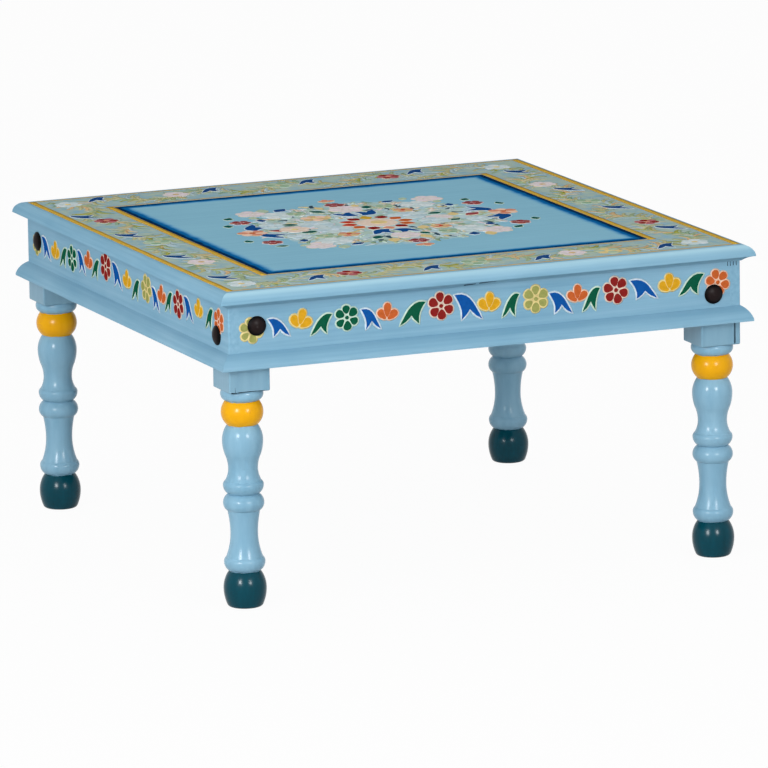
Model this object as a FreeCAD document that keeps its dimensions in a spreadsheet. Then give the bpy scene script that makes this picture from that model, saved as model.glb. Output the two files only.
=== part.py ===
# Bajot: a low square table on four turned legs, in millimetres.
# Origin: the floor point under the middle of the top. +Z is up and -Y is the front.
import FreeCAD, Part
import Sketcher
import math
import os

os.makedirs("parts", exist_ok=True)
doc = FreeCAD.newDocument("BajotTable")

# Each driving dimension has its own cell in the sheet.
sizes = {
    # top frame and its panel
    "top_width": 600.0,
    "top_depth": 600.0,
    "top_thickness": 17.0,
    "rail_width": 85.0,
    "nose_run": 12.0,
    "nose_drop": 10.7,
    "nose_land": 0.8,
    "top_overhang": 12.5,
    "undercut_back": 11.5,
    "undercut_centre_drop": 15.0,
    "tongue_thickness": 6.0,
    "tongue_length": 8.0,
    "groove_clearance": 0.4,
    "spline_inset": 43.0,
    "spline_half_run": 20.0,
    "spline_half_reach": 6.4,
    "spline_thickness": 3.0,
    # battens under the panel, and their screws
    "batten_width": 40.0,
    "batten_thickness": 15.0,
    "batten_offset": 140.0,
    "batten_end_clearance": 0.3,
    "screw_radius": 2.0,
    "screw_length": 28.0,
    "screw_point": 4.0,
    "screw_head_radius": 4.0,
    "screw_head_height": 2.6,
    "screw_hole_clearance": 0.3,
    "screw_pilot_spare": 0.5,
    "screw_end_inset": 45.0,
    "screw_panel_offset": 110.0,
    # apron boards, dowels and glue blocks
    "apron_height": 65.5,
    "apron_thickness": 12.0,
    "apron_corner_radius": 1.5,
    "dowel_radius": 3.0,
    "dowel_length": 20.0,
    "dowel_in_side_board": 8.0,
    "dowel_height": 15.0,
    "glue_block_leg": 22.0,
    "glue_block_length": 60.0,
    "glue_block_offset": 60.0,
    # lower moulding planted on the apron
    "moulding_height": 18.0,
    "moulding_reach": 10.8,
    "moulding_land": 1.8,
    "moulding_undercut": 2.0,
    "moulding_foot": 0.6,
    "moulding_centre_drop": 5.4,
    # leg block and the post above it
    "leg_block": 45.0,
    "block_height": 23.5,
    "block_arris": 1.6,
    "strip_thickness": 6.5,
    # coach bolts, washers and nuts
    "bolt_radius": 4.0,
    "bolt_length": 55.0,
    "bolt_point": 0.8,
    "bolt_head_radius": 10.2,
    "bolt_head_height": 4.6,
    "bolt_head_edge": 1.0,
    "bolt_neck_side": 8.0,
    "bolt_neck_length": 4.0,
    "bolt_hole_clearance": 0.25,
    "bolt_inset": 31.0,
    "bolt_high": 45.0,
    "bolt_low": 32.5,
    "washer_radius": 8.0,
    "washer_thickness": 1.6,
    "nut_across_flats": 13.0,
    "nut_thickness": 6.5,
    # turned part of the leg
    "foot_flat": 17.5,
    "foot_edge_radius": 4.0,
    "bead_ledge": 0.5,
    # how far a cut runs past the surface that it opens
    "cut_overrun": 8.0,
}

# Turned members from the floor up. Each runs from the member below to its widest or
# narrowest radius, and from there to the radius where the next member starts.
turned_members = [
    ("foot", 19.5, 22.2, 18.0, 16.2),
    ("ankle_bead", 9.5, 21.3, 5.0, 19.0),
    ("column", 25.0, 14.2, 24.0, 17.0),
    ("lower_bead", 7.6, 21.2, 9.4, 15.8),
    ("upper_bead", 9.3, 21.0, 4.3, 18.8),
    ("stem", 12.9, 15.3, 14.75, 18.6),
    ("vase", 14.75, 21.1, 16.2, 15.8),
    ("ring", 13.1, 21.9, 12.2, 17.2),
    ("collar", 7.1, 22.2, 4.4, 20.9),
]
for name, rise, reach, fall, top in turned_members:
    sizes[name + "_rise"] = rise
    sizes[name + "_reach"] = reach
    sizes[name + "_fall"] = fall
    sizes[name + "_top"] = top

sheet = doc.addObject("Spreadsheet::Sheet", "Sizes")
for row, (alias, value) in enumerate(sizes.items(), start=1):
    sheet.set("A%d" % row, alias)
    sheet.set("B%d" % row, str(value))
    sheet.setAlias("B%d" % row, alias)
doc.recompute()


class Length:
    """A size: its value in millimetres and the sheet expression that gives it."""

    def __init__(self, value, text):
        self.value = value
        self.text = text

    def __add__(self, other):
        return Length(self.value + other.value, "(%s + %s)" % (self.text, other.text))

    def __sub__(self, other):
        return Length(self.value - other.value, "(%s - %s)" % (self.text, other.text))

    def __neg__(self):
        return Length(-self.value, "(-1 * %s)" % self.text)

    def __mul__(self, share):
        return Length(self.value * share, "(%s * %.9g)" % (self.text, share))


def size(alias):
    return Length(sizes[alias], "Sizes." + alias)


def total(lengths):
    result = lengths[0]
    for length in lengths[1:]:
        result = result + length
    return result


zero = Length(0.0, "0")

# Levels above the floor.
member_heights = []
for member in turned_members:
    member_heights += [size(member[0] + "_rise"), size(member[0] + "_fall")]
block_bottom = total(member_heights)
apron_bottom = block_bottom + size("block_height")
top_bottom = apron_bottom + size("apron_height")
top_surface = top_bottom + size("top_thickness")

# Half sizes of the top and of the apron box.
half_width = size("top_width") * 0.5
half_depth = size("top_depth") * 0.5
box_half_width = half_width - size("top_overhang")
box_half_depth = half_depth - size("top_overhang")

# The four sides, each a quarter turn of the front about the table's axis:
# name, quarter turns, half size along the side, half size across to it.
sides = [
    ("front", 0, half_width, half_depth),
    ("right", 1, half_depth, half_width),
    ("back", 2, half_width, half_depth),
    ("left", 3, half_depth, half_width),
]
corner_names = ["front_left", "front_right", "back_right", "back_left"]


def turned(x, y, quarters):
    """The point (x, y) after quarter turns about the table's axis."""
    for step in range(quarters):
        x, y = -y, x
    return x, y


def origin_plane(body, role):
    for feature in body.Origin.OriginFeatures:
        if feature.Role == role:
            return feature
    raise ValueError("no origin plane " + role)


def new_body(label):
    body = doc.addObject("PartDesign::Body", label)
    body.Label = label
    return body


def new_sketch(body, name, role, offset=zero):
    sketch = body.newObject("Sketcher::SketchObject", name)
    sketch.AttachmentSupport = [(origin_plane(body, role), "")]
    sketch.MapMode = "FlatFace"
    if offset is not zero:
        sketch.AttachmentOffset.Base.z = offset.value
        sketch.setExpression("AttachmentOffset.Base.z", offset.text)
    return sketch


def point_at(x, y):
    return FreeCAD.Vector(x.value, y.value, 0)


def end_at(sketch, edge, point):
    """1 if the edge starts at the point, 2 if it ends there."""
    start_gap = sketch.getPoint(edge, 1).distanceToPoint(point)
    end_gap = sketch.getPoint(edge, 2).distanceToPoint(point)
    return 1 if start_gap < end_gap else 2


def place(sketch, edge, position, x, y):
    """Bind one point of a sketch edge to a named place."""
    if x is zero:
        sketch.addConstraint(Sketcher.Constraint("PointOnObject", edge, position, -2))
    else:
        index = sketch.addConstraint(Sketcher.Constraint("DistanceX", -1, 1, edge, position, x.value))
        sketch.setExpression("Constraints[%d]" % index, x.text)
    if y is zero:
        sketch.addConstraint(Sketcher.Constraint("PointOnObject", edge, position, -1))
    else:
        index = sketch.addConstraint(Sketcher.Constraint("DistanceY", -1, 1, edge, position, y.value))
        sketch.setExpression("Constraints[%d]" % index, y.text)


def corner(x, y, centre_x=None, centre_y=None):
    """A corner of an outline. With a centre line, the run up to it is an arc."""
    return {"x": x, "y": y, "centre_x": centre_x, "centre_y": centre_y}


def arc_between(start, end, centre_x, centre_y):
    """The short arc from start to end with its centre on the given line."""
    chord = end - start
    squares = end.x ** 2 - start.x ** 2 + end.y ** 2 - start.y ** 2
    if centre_x is not None:
        across = centre_x.value
        up = (squares - 2 * across * chord.x) / (2 * chord.y)
    else:
        up = centre_y.value
        across = (squares - 2 * up * chord.y) / (2 * chord.x)
    centre = FreeCAD.Vector(across, up, 0)
    middle = (start + end) * 0.5 - centre
    middle.normalize()
    radius = (start - centre).Length
    return Part.Arc(start, centre + middle * radius, end)


def draw_outline(sketch, corners):
    """A closed outline of lines and arcs, bound corner by corner to the sheet."""
    points = [point_at(item["x"], item["y"]) for item in corners]
    edges = []
    for number, item in enumerate(corners):
        start = points[number - 1]
        end = points[number]
        if item["centre_x"] is None and item["centre_y"] is None:
            edge = sketch.addGeometry(Part.LineSegment(start, end))
        else:
            edge = sketch.addGeometry(arc_between(start, end, item["centre_x"], item["centre_y"]))
        edges.append(edge)
    for number, item in enumerate(corners):
        arriving = edges[number]
        leaving = edges[(number + 1) % len(corners)]
        arrival_end = end_at(sketch, arriving, points[number])
        leaving_end = end_at(sketch, leaving, points[number])
        join = Sketcher.Constraint("Coincident", arriving, arrival_end, leaving, leaving_end)
        sketch.addConstraint(join)
        place(sketch, leaving, leaving_end, item["x"], item["y"])
        if item["centre_x"] is not None:
            centre_line = Sketcher.Constraint("DistanceX", -1, 1, arriving, 3, item["centre_x"].value)
            index = sketch.addConstraint(centre_line)
            sketch.setExpression("Constraints[%d]" % index, item["centre_x"].text)
        if item["centre_y"] is not None:
            centre_line = Sketcher.Constraint("DistanceY", -1, 1, arriving, 3, item["centre_y"].value)
            index = sketch.addConstraint(centre_line)
            sketch.setExpression("Constraints[%d]" % index, item["centre_y"].text)


def draw_rectangle(sketch, left, right, low, high):
    draw_outline(sketch, [
        corner(left, low),
        corner(right, low),
        corner(right, high),
        corner(left, high),
    ])


def draw_circle(sketch, x, y, radius):
    circle = Part.Circle(point_at(x, y), FreeCAD.Vector(0, 0, 1), radius.value)
    edge = sketch.addGeometry(circle)
    place(sketch, edge, 3, x, y)
    index = sketch.addConstraint(Sketcher.Constraint("Radius", edge, radius.value))
    sketch.setExpression("Constraints[%d]" % index, radius.text)


def pad(body, name, sketch, length, midplane=False, backwards=False):
    feature = body.newObject("PartDesign::Pad", name)
    feature.Profile = sketch
    feature.Length = length.value
    feature.setExpression("Length", length.text)
    feature.Midplane = midplane
    feature.Reversed = backwards
    return feature


def pocket(body, name, sketch, depth=None, backwards=False):
    """Cut a profile out, through everything both ways unless a depth is given."""
    feature = body.newObject("PartDesign::Pocket", name)
    feature.Profile = sketch
    if depth is None:
        feature.Type = 1
        feature.Midplane = True
    else:
        feature.Length = depth.value
        feature.setExpression("Length", depth.text)
        feature.Reversed = backwards
    return feature


def revolve(body, name, sketch):
    feature = body.newObject("PartDesign::Revolution", name)
    feature.Profile = sketch
    feature.ReferenceAxis = (sketch, ["V_Axis"])
    feature.Angle = 360.0
    return feature


def round_edges(body, name, radius, wanted):
    """Round the edges of the body so far that the test accepts."""
    doc.recompute()
    base = body.Tip
    names = []
    for number, edge in enumerate(base.Shape.Edges, start=1):
        if wanted(edge):
            names.append("Edge%d" % number)
    feature = body.newObject("PartDesign::Fillet", name)
    feature.Base = (base, names)
    feature.Radius = radius.value
    feature.setExpression("Radius", radius.text)
    return feature


def is_vertical(edge):
    box = edge.BoundBox
    return box.ZLength > box.XLength + box.YLength


def move(item, x, y, z, rotation):
    """Give an object its place, bound to the sheet, and its rotation."""
    base = FreeCAD.Vector(x.value, y.value, z.value)
    item.Placement = FreeCAD.Placement(base, rotation)
    for axis, length in (("x", x), ("y", y), ("z", z)):
        if length is not zero:
            item.setExpression("Placement.Base." + axis, length.text)


def quarter_turns(quarters):
    return FreeCAD.Rotation(FreeCAD.Vector(0, 0, 1), 90.0 * quarters)


def cut_mitres(body, corner_x, tip, width):
    """Cut both ends of a rail or strip back to 45 degrees from its outer corners."""
    mitres = new_sketch(body, "MitreOutline", "XY_Plane")
    reach = width + size("cut_overrun")
    for hand in (1.0, -1.0):
        draw_outline(mitres, [
            corner((corner_x + size("cut_overrun")) * hand, tip - size("cut_overrun")),
            corner((corner_x + size("cut_overrun")) * hand, tip + reach),
            corner((corner_x - reach) * hand, tip + reach),
        ])
    pocket(body, "Mitres", mitres)


def spline_level():
    return top_bottom + (size("top_thickness") - size("spline_thickness")) * 0.5


def draw_spline(sketch, x, y, hand):
    """The plan of a spline: a rectangle along the mitre about (x, y)."""
    long_side = size("spline_half_run") + size("spline_half_reach")
    short_side = size("spline_half_run") - size("spline_half_reach")
    draw_outline(sketch, [
        corner(x - long_side * hand, y + short_side),
        corner(x - short_side * hand, y + long_side),
        corner(x + long_side * hand, y - short_side),
        corner(x + short_side * hand, y - long_side),
    ])


# The moulded rail of the top: a nose that rolls off the flat to a sharp tip, an
# undercut back to the apron, a groove for the panel and a mitre at each end.
def make_top_rail(side, quarters, along, across):
    body = new_body("top_rail_" + side)
    section = new_sketch(body, "RailSection", "YZ_Plane")
    inner = -(across - size("rail_width"))
    tip = -across
    tip_high = top_surface - size("nose_drop")
    tip_low = tip_high - size("nose_land")
    undercut_end = tip + size("undercut_back")
    groove_floor = inner - size("tongue_length") - size("groove_clearance")
    groove_low = top_bottom + (size("top_thickness") - size("tongue_thickness")) * 0.5
    groove_high = groove_low + size("tongue_thickness")
    draw_outline(section, [
        corner(inner, top_surface),
        corner(tip + size("nose_run"), top_surface),
        corner(tip, tip_high, centre_x=tip + size("nose_run")),
        corner(tip, tip_low),
        corner(undercut_end, top_bottom, centre_y=top_bottom - size("undercut_centre_drop")),
        corner(inner, top_bottom),
        corner(inner, groove_low),
        corner(groove_floor, groove_low),
        corner(groove_floor, groove_high),
        corner(inner, groove_high),
    ])
    pad(body, "Rail", section, along * 2.0, midplane=True)
    cut_mitres(body, along, tip, size("rail_width"))
    slots = new_sketch(body, "SplineSlots", "XY_Plane", spline_level())
    for hand in (1.0, -1.0):
        x = (along - size("spline_inset")) * hand
        draw_spline(slots, x, tip + size("spline_inset"), hand)
    pocket(body, "SplineSlotsCut", slots, size("spline_thickness"), backwards=True)
    if quarters % 2 == 0:
        pilots = new_sketch(body, "ScrewPilots", "XY_Plane", top_bottom)
        for hand in (1.0, -1.0):
            draw_circle(pilots, size("batten_offset") * hand, tip + size("screw_end_inset"),
                        size("screw_radius"))
        depth = size("screw_length") - size("batten_thickness") + size("screw_pilot_spare")
        pocket(body, "PilotHoles", pilots, depth, backwards=True)
    move(body, zero, zero, zero, quarter_turns(quarters))
    return body


# The panel: flush with the frame on both faces, tongued all round into its groove.
def make_top_panel():
    body = new_body("top_panel")
    face_x = half_width - size("rail_width")
    face_y = half_depth - size("rail_width")
    field = new_sketch(body, "FieldOutline", "XY_Plane", top_bottom)
    draw_rectangle(field, -face_x, face_x, -face_y, face_y)
    pad(body, "Field", field, size("top_thickness"))
    tongue_low = top_bottom + (size("top_thickness") - size("tongue_thickness")) * 0.5
    tongue_x = face_x + size("tongue_length")
    tongue_y = face_y + size("tongue_length")
    tongue = new_sketch(body, "TongueOutline", "XY_Plane", tongue_low)
    draw_rectangle(tongue, -tongue_x, tongue_x, -tongue_y, tongue_y)
    pad(body, "Tongue", tongue, size("tongue_thickness"))
    pilots = new_sketch(body, "ScrewPilots", "XY_Plane", top_bottom)
    for hand_x in (1.0, -1.0):
        for hand_y in (1.0, -1.0):
            draw_circle(pilots, size("batten_offset") * hand_x, size("screw_panel_offset") * hand_y,
                        size("screw_radius"))
    depth = size("screw_length") - size("batten_thickness") + size("screw_pilot_spare")
    pocket(body, "PilotHoles", pilots, depth, backwards=True)
    return body


# A batten under the panel, from the front apron to the back one.
def make_batten(side, hand):
    body = new_body("batten_" + side)
    half_length = box_half_depth - size("apron_thickness") - size("batten_end_clearance")
    outline = new_sketch(body, "BattenOutline", "XY_Plane", top_bottom - size("batten_thickness"))
    middle = size("batten_offset") * hand
    half = size("batten_width") * 0.5
    draw_rectangle(outline, middle - half, middle + half, -half_length, half_length)
    pad(body, "Batten", outline, size("batten_thickness"))
    holes = new_sketch(body, "ScrewHoles", "XY_Plane", top_bottom)
    for y in screw_rows():
        draw_circle(holes, middle, y, size("screw_radius") + size("screw_hole_clearance"))
    pocket(body, "ClearanceHoles", holes)
    return body


def screw_rows():
    """Where the screws of a batten lie, from front to back."""
    end = half_depth - size("screw_end_inset")
    return [-end, -size("screw_panel_offset"), size("screw_panel_offset"), end]


# An apron board. The side boards run through to the corners, with rounded arrises,
# and the front and back boards butt between them.
def make_apron(side, quarters, along, across):
    body = new_body("apron_" + side)
    runs_through = quarters % 2 == 1
    face = -(across - size("top_overhang"))
    corner_x = along - size("top_overhang")
    half_length = corner_x if runs_through else corner_x - size("apron_thickness")
    outline = new_sketch(body, "BoardOutline", "XY_Plane", apron_bottom)
    draw_rectangle(outline, -half_length, half_length, face, face + size("apron_thickness"))
    pad(body, "Board", outline, size("apron_height"))
    if runs_through:
        def outer_corner(edge):
            return is_vertical(edge) and abs(edge.BoundBox.YMin - face.value) < sizes["block_arris"]
        round_edges(body, "Arrises", size("apron_corner_radius"), outer_corner)
    bolt_x = corner_x - size("bolt_inset")
    holes = new_sketch(body, "BoltHoles", "XZ_Plane")
    necks = new_sketch(body, "NeckSeats", "XZ_Plane", -face)
    reach = size("bolt_neck_side") * 0.5
    for x, height in ((-bolt_x, size("bolt_high")), (bolt_x, size("bolt_low"))):
        level = apron_bottom + height
        draw_circle(holes, x, level, size("bolt_radius") + size("bolt_hole_clearance"))
        draw_rectangle(necks, x - reach, x + reach, level - reach, level + reach)
    pocket(body, "BoltHolesCut", holes)
    pocket(body, "NeckSeatsCut", necks, size("bolt_neck_length"))
    cut_dowel_holes(body, runs_through, face, half_length)
    move(body, zero, zero, zero, quarter_turns(quarters))
    return body


def dowel_levels():
    middle = apron_bottom + size("apron_height") * 0.5
    return [middle - size("dowel_height"), middle + size("dowel_height")]


def cut_dowel_holes(body, runs_through, face, half_length):
    """Blind holes in the inner face of a side board, or in the ends of the other two."""
    in_end = size("dowel_length") - size("dowel_in_side_board")
    if runs_through:
        sketch = new_sketch(body, "DowelHoles", "XZ_Plane", -(face + size("apron_thickness")))
        offset = half_length - size("apron_thickness") * 0.5
        for hand in (1.0, -1.0):
            for level in dowel_levels():
                draw_circle(sketch, offset * hand, level, size("dowel_radius"))
        pocket(body, "DowelHolesCut", sketch, size("dowel_in_side_board"), backwards=True)
        return
    for hand, name in ((1.0, "Right"), (-1.0, "Left")):
        sketch = new_sketch(body, "DowelHoles" + name, "YZ_Plane", half_length * hand)
        for level in dowel_levels():
            draw_circle(sketch, face + size("apron_thickness") * 0.5, level, size("dowel_radius"))
        pocket(body, "DowelHolesCut" + name, sketch, in_end, backwards=hand < 0)


# The lower moulding: a strip with a bowed face and an undercut, mitred at the corners.
def make_moulding(side, quarters, along, across):
    body = new_body("moulding_" + side)
    section = new_sketch(body, "MouldingSection", "YZ_Plane")
    back = -(across - size("top_overhang"))
    tip = back - size("moulding_reach")
    tip_low = apron_bottom + size("moulding_undercut")
    tip_high = tip_low + size("moulding_land")
    draw_outline(section, [
        corner(back, apron_bottom),
        corner(back, apron_bottom + size("moulding_height")),
        corner(tip, tip_high, centre_y=tip_high - size("moulding_centre_drop")),
        corner(tip, tip_low),
        corner(back - size("moulding_foot"), apron_bottom),
    ])
    corner_x = along - size("top_overhang") + size("moulding_reach")
    pad(body, "Strip", section, corner_x * 2.0, midplane=True)
    cut_mitres(body, corner_x, tip, size("moulding_reach"))
    move(body, zero, zero, zero, quarter_turns(quarters))
    return body


def round_block(body, name, seam):
    """Round the uprights and the bottom edges of a block, but for the bottom of its seam."""
    seam_place, seam_axis = seam

    def wanted(edge):
        box = edge.BoundBox
        if is_vertical(edge):
            return True
        if box.ZMax > block_bottom.value + sizes["block_arris"]:
            return False
        low = getattr(box, seam_axis + "Min")
        high = getattr(box, seam_axis + "Max")
        return max(abs(low - seam_place.value), abs(high - seam_place.value)) > sizes["block_arris"]
    round_edges(body, name, size("block_arris"), wanted)


# A leg, drawn with its turning axis upright through the origin and its outer faces
# towards -X and -Y: the turned part, the square block and the rebated post.
def make_leg(name, quarters, along, across, strip_on_x):
    body = new_body("leg_" + name)
    half = size("leg_block") * 0.5
    block = new_sketch(body, "BlockOutline", "XY_Plane", block_bottom)
    block_left = size("strip_thickness") - half if strip_on_x else -half
    block_front = -half if strip_on_x else size("strip_thickness") - half
    draw_rectangle(block, block_left, half, block_front, half)
    pad(body, "Block", block, size("block_height"))
    seam = (block_left, "X") if strip_on_x else (block_front, "Y")
    round_block(body, "BlockArrises", seam)

    rebated = size("apron_thickness") - half
    post = new_sketch(body, "PostOutline", "XY_Plane", apron_bottom)
    draw_rectangle(post, rebated, half, rebated, half)
    pad(body, "Post", post, size("apron_height"))

    profile = new_sketch(body, "TurnedProfile", "XZ_Plane")
    corners = [corner(zero, zero), corner(size("foot_flat"), zero)]
    level = zero
    for member in turned_members:
        alias = member[0]
        if alias == "lower_bead":
            corners.append(corner(size("column_top") + size("bead_ledge"), level))
        middle = level + size(alias + "_rise")
        level = middle + size(alias + "_fall")
        corners.append(corner(size(alias + "_reach"), middle, centre_y=middle))
        corners.append(corner(size(alias + "_top"), level, centre_y=middle))
    corners.append(corner(zero, level))
    draw_outline(profile, corners)
    revolve(body, "TurnedLeg", profile)

    def foot_rim(edge):
        box = edge.BoundBox
        return box.ZMax < sizes["bead_ledge"] and box.XLength > sizes["foot_flat"]
    round_edges(body, "FootRim", size("foot_edge_radius"), foot_rim)

    bolt_place = size("bolt_inset") - half
    hole_radius = size("bolt_radius") + size("bolt_hole_clearance")
    high = new_sketch(body, "HighBoltHole", "XZ_Plane")
    draw_circle(high, bolt_place, apron_bottom + size("bolt_high"), hole_radius)
    pocket(body, "HighBoltHoleCut", high)
    low = new_sketch(body, "LowBoltHole", "YZ_Plane")
    draw_circle(low, bolt_place, apron_bottom + size("bolt_low"), hole_radius)
    pocket(body, "LowBoltHoleCut", low)

    x, y = leg_axis(quarters, along, across)
    move(body, x, y, zero, quarter_turns(quarters))
    return body


def leg_axis(quarters, along, across):
    inset = size("top_overhang") + size("leg_block") * 0.5
    return turned(inset - along, inset - across, quarters)


# The strip that makes up the outer side face of a leg block.
def make_block_strip(name, quarters, along, across, strip_on_x):
    body = new_body("block_strip_" + name)
    half = size("leg_block") * 0.5
    inner = size("strip_thickness") - half
    outline = new_sketch(body, "StripOutline", "XY_Plane", block_bottom)
    if strip_on_x:
        draw_rectangle(outline, -half, inner, -half, half)
    else:
        draw_rectangle(outline, -half, half, -half, inner)
    pad(body, "Strip", outline, size("block_height"))
    round_block(body, "StripArrises", (inner, "X") if strip_on_x else (inner, "Y"))
    x, y = leg_axis(quarters, along, across)
    move(body, x, y, zero, quarter_turns(quarters))
    return body


# Fasteners are drawn once, along +Z from the face that their head bears on.
def make_bolt_model():
    body = new_body("coach_bolt_model")
    profile = new_sketch(body, "BoltProfile", "XZ_Plane")
    shank = size("bolt_radius")
    end = size("bolt_length")
    draw_outline(profile, [
        corner(zero, end),
        corner(zero, -size("bolt_head_height")),
        corner(size("bolt_head_radius"), -size("bolt_head_edge"), centre_x=zero),
        corner(size("bolt_head_radius"), zero),
        corner(shank, zero),
        corner(shank, end - size("bolt_point")),
        corner(shank - size("bolt_point"), end),
    ])
    revolve(body, "Bolt", profile)
    neck = new_sketch(body, "NeckOutline", "XY_Plane")
    half = size("bolt_neck_side") * 0.5
    draw_rectangle(neck, -half, half, -half, half)
    pad(body, "Neck", neck, size("bolt_neck_length"))
    return body


def make_screw_model():
    body = new_body("batten_screw_model")
    profile = new_sketch(body, "ScrewProfile", "XZ_Plane")
    shank = size("screw_radius")
    end = size("screw_length")
    draw_outline(profile, [
        corner(zero, end),
        corner(zero, -size("screw_head_height")),
        corner(size("screw_head_radius"), zero, centre_x=zero),
        corner(shank, zero),
        corner(shank, end - size("screw_point")),
    ])
    revolve(body, "Screw", profile)
    return body


def make_ring_model(label, outline, bore, thickness):
    """A disc or hexagon with a round hole: a washer or a nut."""
    outline.setExpression("Height", thickness.text)
    hole = doc.addObject("Part::Cylinder", label + "_hole")
    hole.setExpression("Radius", bore.text)
    hole.setExpression("Height", thickness.text)
    model = doc.addObject("Part::Cut", label)
    model.Base = outline
    model.Tool = hole
    return model


def make_washer_model():
    disc = doc.addObject("Part::Cylinder", "washer_disc")
    disc.setExpression("Radius", size("washer_radius").text)
    bore = size("bolt_radius") + size("bolt_hole_clearance")
    return make_ring_model("washer_model", disc, bore, size("washer_thickness"))


def make_nut_model():
    hexagon = doc.addObject("Part::Prism", "nut_hexagon")
    hexagon.Polygon = 6
    corner_radius = size("nut_across_flats") * (1.0 / math.sqrt(3.0))
    hexagon.setExpression("Circumradius", corner_radius.text)
    return make_ring_model("nut_model", hexagon, size("bolt_radius"), size("nut_thickness"))


def make_glue_block_model():
    body = new_body("glue_block_model")
    outline = new_sketch(body, "BlockSection", "YZ_Plane")
    draw_outline(outline, [
        corner(zero, zero),
        corner(size("glue_block_leg"), zero),
        corner(zero, -size("glue_block_leg")),
    ])
    pad(body, "GlueBlock", outline, size("glue_block_length"), midplane=True)
    return body


def make_spline_model():
    body = new_body("mitre_spline_model")
    outline = new_sketch(body, "SplineOutline", "XY_Plane")
    draw_spline(outline, zero, zero, -1.0)
    pad(body, "Spline", outline, size("spline_thickness"))
    return body


def make_group(label, model, places):
    """One node of separate, equal pieces: a place is x, y, z and a rotation."""
    copies = []
    for number, (x, y, z, rotation) in enumerate(places, start=1):
        copy = doc.addObject("App::Link", "%s_%d" % (label, number))
        copy.LinkedObject = model
        copy.LinkTransform = False
        move(copy, x, y, z, rotation)
        copies.append(copy)
    group = doc.addObject("Part::Compound", label)
    group.Label = label
    group.Links = copies
    return group


def bolt_places(depth):
    """Places on the eight bolt axes, so far inwards from the apron's outer face."""
    places = []
    for side, quarters, along, across in sides:
        x = along - size("top_overhang") - size("bolt_inset")
        y = size("top_overhang") - across
        if depth is not zero:
            y = y + depth
        inward = FreeCAD.Rotation(FreeCAD.Vector(1, 0, 0), -90.0)
        for offset, height in ((-x, size("bolt_high")), (x, size("bolt_low"))):
            place_x, place_y = turned(offset, y, quarters)
            level = apron_bottom + height
            places.append((place_x, place_y, level, quarter_turns(quarters) * inward))
    return places


def dowel_places():
    places = []
    for side, quarters, along, across in sides:
        if quarters % 2 == 1:
            continue
        start_x = along - size("top_overhang") - size("apron_thickness")
        start_x = start_x + size("dowel_in_side_board")
        y = size("top_overhang") - across + size("apron_thickness") * 0.5
        inward = FreeCAD.Rotation(FreeCAD.Vector(0, 1, 0), -90.0)
        for hand in (1.0, -1.0):
            turn = quarter_turns(0 if hand > 0 else 2)
            for level in dowel_levels():
                place_x, place_y = turned(start_x * hand, y, quarters)
                places.append((place_x, place_y, level, quarter_turns(quarters) * turn * inward))
    return places


def glue_block_places():
    places = []
    for side, quarters, along, across in sides:
        y = size("top_overhang") - across + size("apron_thickness")
        for hand in (1.0, -1.0):
            place_x, place_y = turned(size("glue_block_offset") * hand, y, quarters)
            places.append((place_x, place_y, top_bottom, quarter_turns(quarters)))
    return places


def spline_places():
    places = []
    for side, quarters, along, across in sides:
        inset = size("spline_inset")
        x, y = turned(inset - along, inset - across, quarters)
        places.append((x, y, spline_level(), quarter_turns(quarters)))
    return places


def screw_places():
    places = []
    level = top_bottom - size("batten_thickness")
    for hand in (1.0, -1.0):
        for y in screw_rows():
            places.append((size("batten_offset") * hand, y, level, quarter_turns(0)))
    return places


subparts = []
for side, quarters, along, across in sides:
    subparts.append(make_top_rail(side, quarters, along, across))
    subparts.append(make_apron(side, quarters, along, across))
    subparts.append(make_moulding(side, quarters, along, across))
    strip_on_x = quarters % 2 == 0
    corner_name = corner_names[quarters]
    subparts.append(make_leg(corner_name, quarters, along, across, strip_on_x))
    subparts.append(make_block_strip(corner_name, quarters, along, across, strip_on_x))
subparts.append(make_top_panel())
subparts.append(make_batten("right", 1.0))
subparts.append(make_batten("left", -1.0))

post_depth = size("leg_block")
nut_depth = post_depth + size("washer_thickness")
subparts.append(make_group("coach_bolts", make_bolt_model(), bolt_places(zero)))
subparts.append(make_group("washers", make_washer_model(), bolt_places(post_depth)))
subparts.append(make_group("nuts", make_nut_model(), bolt_places(nut_depth)))
subparts.append(make_group("batten_screws", make_screw_model(), screw_places()))
subparts.append(make_group("glue_blocks", make_glue_block_model(), glue_block_places()))
subparts.append(make_group("mitre_splines", make_spline_model(), spline_places()))

dowel_model = doc.addObject("Part::Cylinder", "dowel_model")
dowel_model.setExpression("Radius", size("dowel_radius").text)
dowel_model.setExpression("Height", size("dowel_length").text)
subparts.append(make_group("apron_dowels", dowel_model, dowel_places()))

doc.recompute()

for item in doc.Objects:
    if "Invalid" in item.State or "Error" in item.State:
        raise RuntimeError("failed feature: " + item.Label)
for item in subparts:
    if item.Shape.isNull() or not item.Shape.isValid():
        raise RuntimeError("bad shape: " + item.Label)

for item in subparts:
    item.Shape.exportStep(os.path.join("parts", item.Label + ".step"))
print("wrote", len(subparts), "parts")
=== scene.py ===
import math
import random

import bpy
from mathutils import Matrix, Vector


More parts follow.
